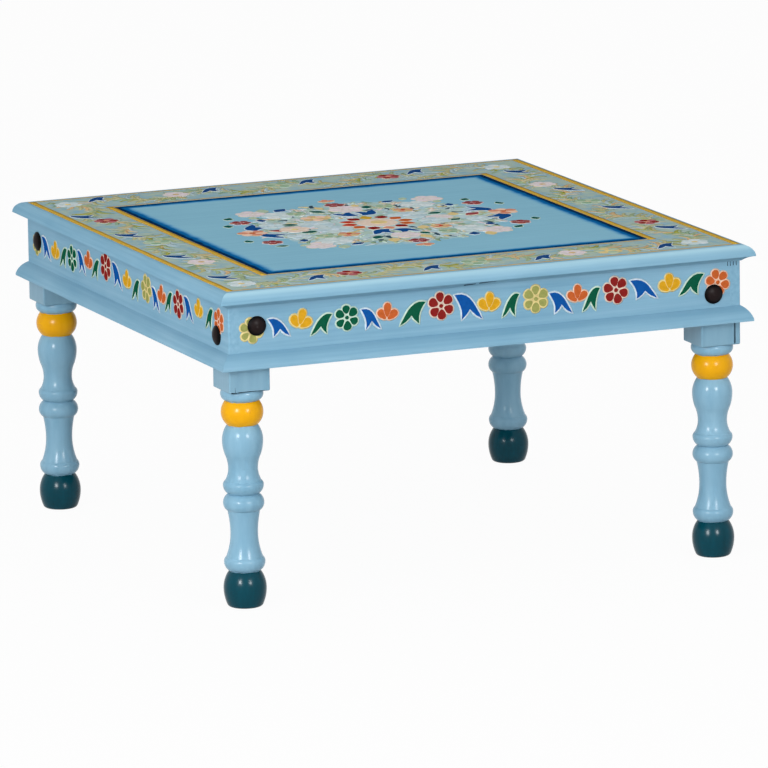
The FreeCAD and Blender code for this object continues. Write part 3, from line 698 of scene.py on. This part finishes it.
leftGarland = [
    ("flower", "olive", -259.5, 292, 0.84, 0), ("leaf", "blue", -245, 303, -218, 280),
    ("tulip", "yellow", -204, 295, 0.95, 0), ("leaf", "green", -169, 301, -191, 280),
    ("flower", "green", -154, 294, 0.98, 8), ("leaf", "blue", -139, 305, -114, 282),
    ("tulip", "orange", -106, 301, 0.95, 0), ("leaf", "green", -74, 304, -97, 283),
    ("flower", "red", -55, 302, 1.08, 0), ("leaf", "blue", -38, 309, -8, 284),
    ("tulip", "yellow", 6, 299, 0.95, 0), ("leaf", "green", 42, 302, 19, 280),
    ("flower", "olive", 61, 298, 1.02, 20), ("leaf", "blue", 75, 302, 98, 279),
    ("tulip", "orange", 104, 300, 0.95, 0), ("leaf", "green", 134, 305, 113, 283),
    ("flower", "red", 151, 297, 1.04, 10), ("leaf", "blue", 166, 308, 192, 284),
    ("tulip", "yellow", 207, 303, 0.95, 0), ("leaf", "green", 247, 307, 225, 285),
    ("flower", "orange", 262.3, 298, 0.94, 0),
]
garlandLine = 2.9
garlandPainters = {"flower": drawFlower, "tulip": drawTulip, "leaf": drawLeaf}
for side, sideName in enumerate(sideNames):
    layer = PaintLayer("garland" + sideName, garlandLine)
    for kind, colour, *numbers in (frontGarland if side % 2 == 0 else leftGarland):
        garlandPainters[kind](layer, colour, *numbers)
    layer.finish(faceOf(side))

# Open joints and end grain that show dark in the paint, and a painted shadow under the front left leg's
# block: along, up, along, up, width
frontJointsAndShadows = [
    # the marks at up 227.7 to 227.9 are a painted shadow along the bottom of the block
    (281, 228.6, 281, 250.2, 1.0), (-281, 228.2, -281.3, 233.4, 0.9), (-285.4, 227.7, -276, 227.9, 1.3),
    (-276, 227.9, -249, 227.9, 0.8), (273, 311.4, 273, 316, 0.9), (276.2, 311, 276.2, 316, 0.8),
    (279.6, 311.6, 279.7, 316, 0.9), (283, 311.2, 283, 316, 0.8),
]
markStyle = {"height": 0.14, "stray": 0.2, "tip": 0.6}  # the tip is a share of the width
jointAndShadowLayer = PaintLayer("jointMarksAndShadow", 1.0, markStyle["height"])
for fromAlong, fromUp, toAlong, toUp, width in frontJointsAndShadows:
    middleAlong = (fromAlong + toAlong) / 2 + straying(markStyle["stray"])
    middleUp = (fromUp + toUp) / 2 + straying(markStyle["stray"])
    points = [(fromAlong, fromUp), (middleAlong, middleUp), (toAlong, toUp)]
    jointAndShadowLayer.line("dark", points, width, width * markStyle["tip"])
jointAndShadowLayer.finish(faceOf(0))

# Two dark slips on the front of the nose: along, up, along, up on its sloping face
slips = [(-27.5, -0.8, -14.8, 0.2), (-11, 1.2, 7.5, 2.7)]
slipStyle = {
    "height": 0.08,
    "width": 2.8,
    "tip": 1.8,
    "place": (0, -0.29163, 0.31826),  # a point on the sloping face, in metres
    "slope": 147.2,  # degrees
}
noseMarks = PaintLayer("noseMarks", 1.0, slipStyle["height"])
for fromAlong, fromUp, toAlong, toUp in slips:
    middle = ((fromAlong + toAlong) / 2, (fromUp + toUp) / 2)
    points = [(fromAlong, fromUp), middle, (toAlong, toUp)]
    noseMarks.line("dark", points, slipStyle["width"], slipStyle["tip"])
tilt = Matrix.Rotation(math.radians(slipStyle["slope"]), 4, "X")
noseMarks.finish(Matrix.Translation(slipStyle["place"]) @ tilt)

# Paint that has filled the joint of a leg's block, on the faces where no joint shows
enamels["filled"] = legTurned
filling = [(-283.6, 227.3, "c"), (-278.2, 227.3, "c"), (-278.2, 250.4, "c"), (-283.6, 250.4, "c")]
backBlock = 0.2425  # the front of the block on the back left leg
flush = Matrix.Diagonal((1, 1, 0.25, 1))
for sideName, face in (("Front", -apronFace), ("Back", backBlock)):
    seam = PaintLayer("filledSeam" + sideName)
    seam.draw("filled", "Fill", filling, Matrix.Identity(4))
    upright = Matrix.Rotation(math.radians(90), 4, "X") @ flush
    seam.finish(Matrix.Translation((0, face, 0)) @ upright)

# The top: two square lines, curled vines between them, motifs among the vines, and the medallion.
onTop = Matrix.Translation((0, 0, topFace))
borderLines = {
    "outer": 283.4,  # half the side of each square
    "inner": 219.2,
    "broad": 8.0,
    "thin": 3.6,
    "height": 0.16,
    "step": 20,
    "sway": 0.35,
    "rightShift": 1.4,  # the outer line lies this much further out along the right side
}


def turned(x, y, quarters):
    for turn in range(quarters):
        x, y = -y, x
    return x, y


def drawSquareLine(layer, half, rightShift):
    # four strokes, thin along the front and the back and broad along the sides
    widths = (borderLines["thin"], borderLines["broad"])
    for corner in range(4):
        width = widths[corner % 2]
        reach = half + widths[1 - corner % 2] / 2
        steps = round(2 * reach / borderLines["step"])
        away = half + (rightShift if corner == 1 else 0)
        points = []
        for number in range(steps + 1):
            sway = straying(borderLines["sway"]) if 0 < number < steps else 0
            points.append(turned(-reach + 2 * reach * number / steps, sway - away, corner))
        layer.line("gold", points, width)


lines = PaintLayer("borderLines", borderLines["broad"], borderLines["height"])
drawSquareLine(lines, borderLines["outer"], borderLines["rightShift"])
drawSquareLine(lines, borderLines["inner"], 0)
lines.finish(onTop)

# Motifs among the vines: kind, colour, x, y
borderMotifs = [
    ("flower", "white", -254, 252), ("leaf", "navy", -216, 266), ("flower", "pink", -128, 255),
    ("leaf", "navy", -86, 262), ("flower", "lichen", -8, 256), ("leaf", "navy", 27, 261),
    ("flower", "red", 119, 250), ("leaf", "navy", 156, 264), ("flower", "white", 248, 250),
    ("sideLeaf", "navy", 258, 212), ("flower", "pink", 249, 129), ("sideLeaf", "navy", 262, 90),
    ("flower", "lichen", 250, 12), ("sideLeaf", "navy", 263, -34), ("flower", "red", 255, -127),
    ("sideLeaf", "navy", 264, -167), ("flower", "white", 251, -254),
    ("flower", "white", -258, -252), ("leaf", "navy", -177, -257), ("flower", "red", -137, -249),
    ("leaf", "navy", -51, -262), ("flower", "lichen", 2, -252), ("leaf", "navy", 74, -262),
    ("flower", "pink", 112, -252), ("flower", "wheat", 150, -259), ("leaf", "navy", 214, -261),
    ("sideLeaf", "navy", -264, 174), ("flower", "red", -252, 143), ("sideLeaf", "navy", -261, 52),
    ("flower", "lichen", -249, 4), ("sideLeaf", "navy", -260, -84), ("flower", "pink", -250, -122),
    ("sideLeaf", "navy", -262, -212),
]
# The vines: a wavy stem along each side of the border, with pairs of bowed and tapering fronds.
vineStyle = {
    "middle": 250,  # distance of the stem from the table's middle
    "start": -271,
    "sway": 15,
    "wave": 104,  # length of one wave of the stem
    "step": 5.6,
    "stepStray": 1.2,
    "stemWidth": 2.6,
    "frond": (18, 28),
    "spread": (34, 66),  # degrees that a frond turns away from the stem
    "bow": 0.17,  # share of its length
    "bend": ((0, 0), (0.36, 1), (0.72, 0.9), (1, 0.1)),  # share of the length, share of the bow
    "width": 7.0,
    "tip": 3.0,
    "near": 225,
    "far": 277,
    "clear": 11,  # radius left free round a motif
    "height": 0.15,
}
vinePots = [
    "fern", "straw", "sage", "fern", "dune", "straw", "haze", "fern", "straw", "dune", "haze", "apricot",
    "moss",
]


def withinBorder(along, away):
    return along, min(max(away, vineStyle["near"]), vineStyle["far"])


def drawFrond(layer, colour, along, away, heading, length, bow, side):
    step = Vector((math.cos(heading), math.sin(heading)))
    points = []
    for share, lean in vineStyle["bend"]:
        x = along + length * (step.x * share - step.y * bow * lean)
        y = away + length * (step.y * share + step.x * bow * lean)
        place = withinBorder(x, y)
        points.append(turned(place[0], -place[1], side))
    for motif in borderMotifs:
        if (Vector(points[2]) - Vector(motif[2:4])).length < vineStyle["clear"]:
            return
    layer.line(colour, points, vineStyle["width"], vineStyle["tip"])


def drawVine(layer, side):
    phase = straying(math.pi)
    along = vineStyle["start"]
    stem = []
    while along < vineStyle["near"]:
        angle = math.tau * along / vineStyle["wave"] + phase
        away = vineStyle["middle"] + vineStyle["sway"] * math.sin(angle)
        stem.append(turned(along, -away, side))
        slope = math.atan2(vineStyle["sway"] * math.tau / vineStyle["wave"] * math.cos(angle), 1)
        for aside in (-1, 1):
            colour = vinePots[hand.randrange(len(vinePots))]
            heading = slope + aside * math.radians(hand.uniform(*vineStyle["spread"]))
            bow = -aside * vineStyle["bow"]
            drawFrond(layer, colour, along, away, heading, hand.uniform(*vineStyle["frond"]), bow, side)
        along += vineStyle["step"] + straying(vineStyle["stepStray"])
    layer.line("straw", stem[::2], vineStyle["stemWidth"])


vines = PaintLayer("borderVines", vineStyle["width"], vineStyle["height"])
for side in range(4):
    drawVine(vines, side)
vines.finish(onTop)

borderStyle = {
    "bloom": 13.0,
    "redBloom": 11.5,
    "hearts": {"pink": "apricot", "white": "butter", "red": "coral"},
    "leafHalf": (14, 12),  # from the middle of a leaf to its head
    "sideLeafHead": (-12, 15),
    "sideLeafSize": 1.22,
}


def drawBorderMotif(layer, kind, colour, x, y):
    if kind == "flower":
        radius = borderStyle["redBloom"] if colour == "red" else borderStyle["bloom"]
        drawBloom(layer, colour, x, y, radius, borderStyle["hearts"].get(colour))
    elif kind == "leaf":
        across, up = borderStyle["leafHalf"]
        drawLeaf(layer, colour, x + across, y + up, x - across, y - up)
    else:
        across, up = borderStyle["sideLeafHead"]
        size = borderStyle["sideLeafSize"]
        layer.shape(colour, leaf, spot(x + across, y + up, 90) @ Matrix.Diagonal((-size, size, 1, 1)))


border = PaintLayer("borderMotifs", ornament["fineWidth"])
for kind, colour, x, y in borderMotifs:
    drawBorderMotif(border, kind, colour, x, y)
border.finish(onTop)

# Kind, colour, x, y; then a bloom's radius; a bud's size and heading; a tulip's size and turn;
# or a leaf's size, heading and handedness
medallionMotifs = [
    # north
    ("leaf", "cobalt", -13, 60, 1.04, 140, 1), ("leaf", "cobalt", 14, 61, 1.10, 50, -1),
    ("bloom", "pink", 0, 88, 17), ("bud", "pine", -33, 87, 1.9, 130), ("bud", "pine", 26, 90, 1.8, 70),
    ("bloom", "wine", 0, 117, 10), ("tulip", "coral", 0, 143, 0.75, 0),
    ("bud", "wheat", -24, 106, 1.3, 100), ("bud", "wheat", 18, 104, 1.3, 80),
    # south
    ("leaf", "cobalt", -17, -51, 1.10, 220, -1), ("leaf", "cobalt", 11, -53, 1.04, 320, 1),
    ("bloom", "pink", 0, -78, 15), ("bud", "pine", -33, -78, 1.8, 240),
    ("bud", "pine", 23, -77, 1.5, 290), ("bloom", "wine", -1, -113, 10),
    ("tulip", "coral", -4, -139, 0.8, 180), ("bud", "wheat", -23, -98, 1.9, 255),
    ("bud", "wheat", 16, -94, 1.7, 285),
    # west
    ("bloom", "peach", -141, 3, 14), ("bud", "brick", -112, 5, 1.9, 160),
    ("leaf", "cobalt", -127, 33, 1.17, 75, 1), ("leaf", "cobalt", -127, -20, 1.17, 285, -1),
    ("bloom", "wine", -130, 66, 10), ("bud", "pine", -133, 91, 1.5, 60),
    ("bud", "pine", -150, 52, 1.5, 70), ("bud", "navy", -105, 67, 1.4, 80),
    ("bloom", "wine", -142, -54, 10), ("bud", "pine", -142, -78, 1.4, 0),
    ("bud", "pine", -162, -38, 1.4, 90), ("bud", "navy", -109, -60, 1.4, 70),
    ("bloom", "blush", -94, 2, 15), ("bloom", "sky", -108, 34, 12), ("bloom", "sky", -104, -36, 12),
    # east
    ("bloom", "peach", 146, 1, 14), ("bud", "brick", 111, 3, 1.9, 30),
    ("leaf", "cobalt", 128, 27, 1.17, 110, -1), ("leaf", "cobalt", 131, -26, 1.23, 250, 1),
    ("bloom", "wine", 137, 61, 10), ("bloom", "wine", 137, -65, 10), ("bud", "pine", 138, 84, 1.4, 60),
    ("bud", "pine", 161, 47, 1.4, 90), ("bud", "pine", 160, -52, 1.4, 80),
    ("bud", "pine", 125, -88, 1.5, 45), ("bud", "navy", 110, 63, 1.4, 80),
    ("bud", "navy", 104, -58, 1.4, 80), ("bloom", "pink", 72, 0, 13), ("bud", "wheat", 92, 12, 1.7, 80),
    ("bloom", "sky", 106, -26, 12),
    # north-east
    ("bloom", "white", 80, 82, 16), ("bloom", "pink", 102, 107, 15), ("bud", "lichen", 80, 118, 1.2, 60),
    ("bud", "lichen", 107, 88, 1.2, 60), ("bud", "navy", 59, 111, 1.5, 20), ("bloom", "coral", 54, 57, 10),
    ("bloom", "lichen", 46, 86, 9), ("bud", "pine", 76, 24, 1.8, 20), ("bloom", "sky", 44, 26, 18),
    # south-east
    ("bloom", "coral", 52, -48, 10), ("bloom", "white", 76, -74, 16), ("bloom", "pink", 97, -93, 15),
    ("bud", "navy", 66, -103, 1.6, 70), ("bloom", "lichen", 50, -78, 10),
    ("bud", "wheat", 84, -110, 1.9, 260), ("bud", "pine", 82, -20, 1.5, 30),
    ("bloom", "sky", 60, -14, 15), ("bud", "wheat", 34, -44, 1.8, 70),
    # north-west
    ("bloom", "white", -78, 86, 16), ("bloom", "pink", -101, 107, 15),
    ("bud", "lichen", -83, 118, 1.9, 80), ("bud", "lichen", -108, 86, 1.2, 60),
    ("bud", "navy", -66, 114, 1.9, 40), ("bloom", "apricot", -50, 52, 13),
    ("bud", "wheat", -37, 52, 1.7, 70), ("bloom", "lichen", -58, 86, 9),
    ("bud", "pine", -88, 29, 1.9, 150), ("bloom", "sky", -62, 22, 17),
    # south-west
    ("bloom", "coral", -52, -47, 11), ("bloom", "white", -80, -76, 16), ("bloom", "pink", -104, -94, 15),
    ("bud", "navy", -66, -102, 1.6, 200), ("bloom", "lichen", -79, -46, 10),
    ("bud", "lichen", -84, -110, 1.7, 250), ("bud", "lichen", -117, -83, 1.3, 200),
    ("bud", "pine", -84, -16, 2, 10), ("bloom", "sky", -54, -14, 18),
]
leafStyle = {
    "lean": 37.6,  # degrees that the drawn leaf points below level
    "middle": (13, -10),  # of the drawn leaf
    "stretch": 1.5,
}


def drawLeafAt(layer, colour, x, y, size, heading, flip):
    # the same leaf, thicker, pointing along its heading
    lean = leafStyle["lean"] if flip > 0 else 180 - leafStyle["lean"]
    place = spot(x, y, heading, size, leafStyle["stretch"]) @ spot(0, 0, lean)
    centred = spot(-leafStyle["middle"][0], -leafStyle["middle"][1])
    layer.shape(colour, leaf, place @ Matrix.Diagonal((flip, 1, 1, 1)) @ centred)


def drawBud(layer, colour, x, y, size, heading):
    layer.shape(colour, spear, spot(x, y, heading - 90, size) @ spot(0, -spearHalf))


rosette = {
    "disc": 22,
    "heart": (2, 1, 9),  # x, y, radius
    "ring": 32,  # radius of the ring of petals
    "petalSize": (1.96, 0.76),
    "colours": [
        "orange", "orange", "red", "ochre", "red", "scarlet", "scarlet", "orange", "red", "coral", "red",
        "orange",
    ],
}
fillerStyle = {
    "count": 520,
    "across": 130,
    "up": 122,
    "bare": 0.1,  # share of the oval's area, in its middle, where no stroke starts
    "turn": 0.9,
    "length": (8, 17),
    "bow": 2.5,
    "width": (6.6, 3.2),
    "height": 0.14,
}
fillerPots = [
    "mist", "haze", "sage", "dune", "pink", "mist", "mint", "lichen", "ice", "blush", "haze", "fern",
    "white", "slate", "mint", "wheat",
]
motifStray = 0.8
medallionPainters = {"bloom": drawBloom, "tulip": drawTulip, "bud": drawBud, "leaf": drawLeafAt}
filler = PaintLayer("medallionFiller", fillerStyle["width"][0], fillerStyle["height"])
medallion = PaintLayer("medallion", ornament["fineWidth"])
for kind, colour, x, y, *numbers in medallionMotifs:
    medallionPainters[kind](medallion, colour, x + straying(motifStray), y + straying(motifStray), *numbers)
drawDisc(medallion, "blush", 0, 0, rosette["disc"], "Fill")
drawDisc(medallion, "wheat", *rosette["heart"])
for number in range(fillerStyle["count"]):
    # loose strokes of thin paint that fill the medallion between its motifs
    angle = hand.uniform(0, math.tau)
    reach = math.sqrt(hand.uniform(fillerStyle["bare"], 1))
    x = fillerStyle["across"] * reach * math.cos(angle)
    y = fillerStyle["up"] * reach * math.sin(angle)
    heading = angle + straying(fillerStyle["turn"])
    length = hand.uniform(*fillerStyle["length"])
    bow = straying(fillerStyle["bow"])
    middleX = x + length / 2 * math.cos(heading) - bow * math.sin(heading)
    middleY = y + length / 2 * math.sin(heading) + bow * math.cos(heading)
    tip = (x + length * math.cos(heading), y + length * math.sin(heading))
    colour = fillerPots[hand.randrange(len(fillerPots))]
    filler.line(colour, [(x, y), (middleX, middleY), tip], *fillerStyle["width"])
filler.finish(onTop)
for number, colour in enumerate(rosette["colours"]):
    angle = 30 * number
    x = rosette["ring"] * math.cos(math.radians(angle))
    y = rosette["ring"] * math.sin(math.radians(angle))
    place = spot(x, y, angle - 90, *rosette["petalSize"])
    medallion.shape(colour, spear, place @ spot(0, -spearHalf))
medallion.finish(onTop)
print("ornament done")

# Stage, light and camera
studio = {
    "ambient": 0.62,
    "floorSize": 30,
    "floorColour": (0.62, 0.62, 0.62, 1),
    "floorRoughness": 0.9,
    "floorWhite": 0.96,  # share of plain white that the camera sees in the floor
    "white": (1, 1, 1, 1),
    "aim": (0, 0, 0.2),  # where the lamps point
}
bpy.ops.mesh.primitive_plane_add(size=studio["floorSize"], location=(0, 0, 0))
floor = bpy.context.object
floor.name = "floor"
floorMaterial, floorTree, floorShader = newMaterial("paleFloor")
floor.data.materials.append(floorMaterial)

# Soft light comes from the boxes; the glints only show as small highlights.
lamps = {
    "leftSoftbox": {"azimuth": 55, "reach": 3.2, "height": 1.15, "size": 1.8, "power": 62},
    "rightSoftbox": {"azimuth": -12, "reach": 3.2, "height": 1.4, "size": 1.5, "power": 32},
    "leftGlint": {"azimuth": 50, "reach": 3.2, "height": 1.2, "size": 0.7, "power": 105},
    "rightGlint": {"azimuth": -4, "reach": 3.2, "height": 1.2, "size": 0.6, "power": 70},
}
for name, setting in lamps.items():
    angle = math.radians(setting["azimuth"])
    reach = setting["reach"]
    place = Vector((-math.sin(angle) * reach, -math.cos(angle) * reach, setting["height"]))
    aim = Vector(studio["aim"]) - place
    bpy.ops.object.light_add(type="AREA", location=place, rotation=aim.to_track_quat("-Z", "Y").to_euler())
    lamp = bpy.context.object
    lamp.name = name
    lamp.data.shape = "SQUARE"
    lamp.data.size = setting["size"]
    lamp.data.energy = setting["power"]
    lamp.visible_diffuse = name.endswith("Softbox")
    lamp.visible_glossy = name.endswith("Glint")


def seenDirectly(tree):
    # 1 for what the camera sees, also in a reflection or through glass
    path = addNode(tree, "LightPath")
    seen = calculate(tree, "MAXIMUM", path.outputs["Is Camera Ray"], path.outputs["Is Glossy Ray"])
    return calculate(tree, "MAXIMUM", seen, path.outputs["Is Transmission Ray"])


floorShader.inputs["Base Color"].default_value = studio["floorColour"]
floorShader.inputs["Roughness"].default_value = studio["floorRoughness"]
floorShader.inputs["Specular IOR Level"].default_value = 0.0
plainWhite = addNode(floorTree, "Emission", {"Color": studio["white"], "Strength": 1.0})
floorMix = addNode(floorTree, "MixShader")
share = calculate(floorTree, "MULTIPLY", seenDirectly(floorTree), studio["floorWhite"])
floorTree.links.new(share, floorMix.inputs[0])
floorTree.links.new(floorShader.outputs[0], floorMix.inputs[1])
floorTree.links.new(plainWhite.outputs[0], floorMix.inputs[2])
floorTree.links.new(floorMix.outputs[0], floorTree.nodes["Material Output"].inputs["Surface"])

world = bpy.data.worlds.new("studio")
world.use_nodes = True
bpy.context.scene.world = world
worldTree = world.node_tree
worldTree.nodes.clear()
ambientLight = addNode(worldTree, "Background", {"Color": studio["white"], "Strength": studio["ambient"]})
whiteBackdrop = addNode(worldTree, "Background", {"Color": studio["white"], "Strength": 1.0})
worldMix = addNode(worldTree, "MixShader")
worldOut = addNode(worldTree, "OutputWorld")
worldTree.links.new(seenDirectly(worldTree), worldMix.inputs[0])
worldTree.links.new(ambientLight.outputs[0], worldMix.inputs[1])
worldTree.links.new(whiteBackdrop.outputs[0], worldMix.inputs[2])
worldTree.links.new(worldMix.outputs[0], worldOut.inputs["Surface"])

shot = {
    "target": (0.0032, -0.0037, 0.1594),
    "azimuth": 22.92,  # degrees round to the left of the front
    "elevation": 11.51,
    "roll": -0.825,
    "distance": 8.991,
    "lens": 397.0,
    "sensor": 36,
    "clip": 100,
}
swing = math.radians(shot["azimuth"])
rise = math.radians(shot["elevation"])
towards = Vector((-math.sin(swing) * math.cos(rise), -math.cos(swing) * math.cos(rise), math.sin(rise)))
place = Vector(shot["target"]) + towards * shot["distance"]
turn = Matrix.Rotation(-swing, 3, "Z") @ Matrix.Rotation(math.pi / 2 - rise, 3, "X")
turn = turn @ Matrix.Rotation(math.radians(shot["roll"]), 3, "Z")
bpy.ops.object.camera_add(location=place, rotation=turn.to_euler())
camera = bpy.context.object
camera.data.lens = shot["lens"]
camera.data.sensor_width = shot["sensor"]
camera.data.clip_end = shot["clip"]
bpy.context.scene.camera = camera
bpy.context.scene.view_settings.view_transform = "Standard"
print("studio set")
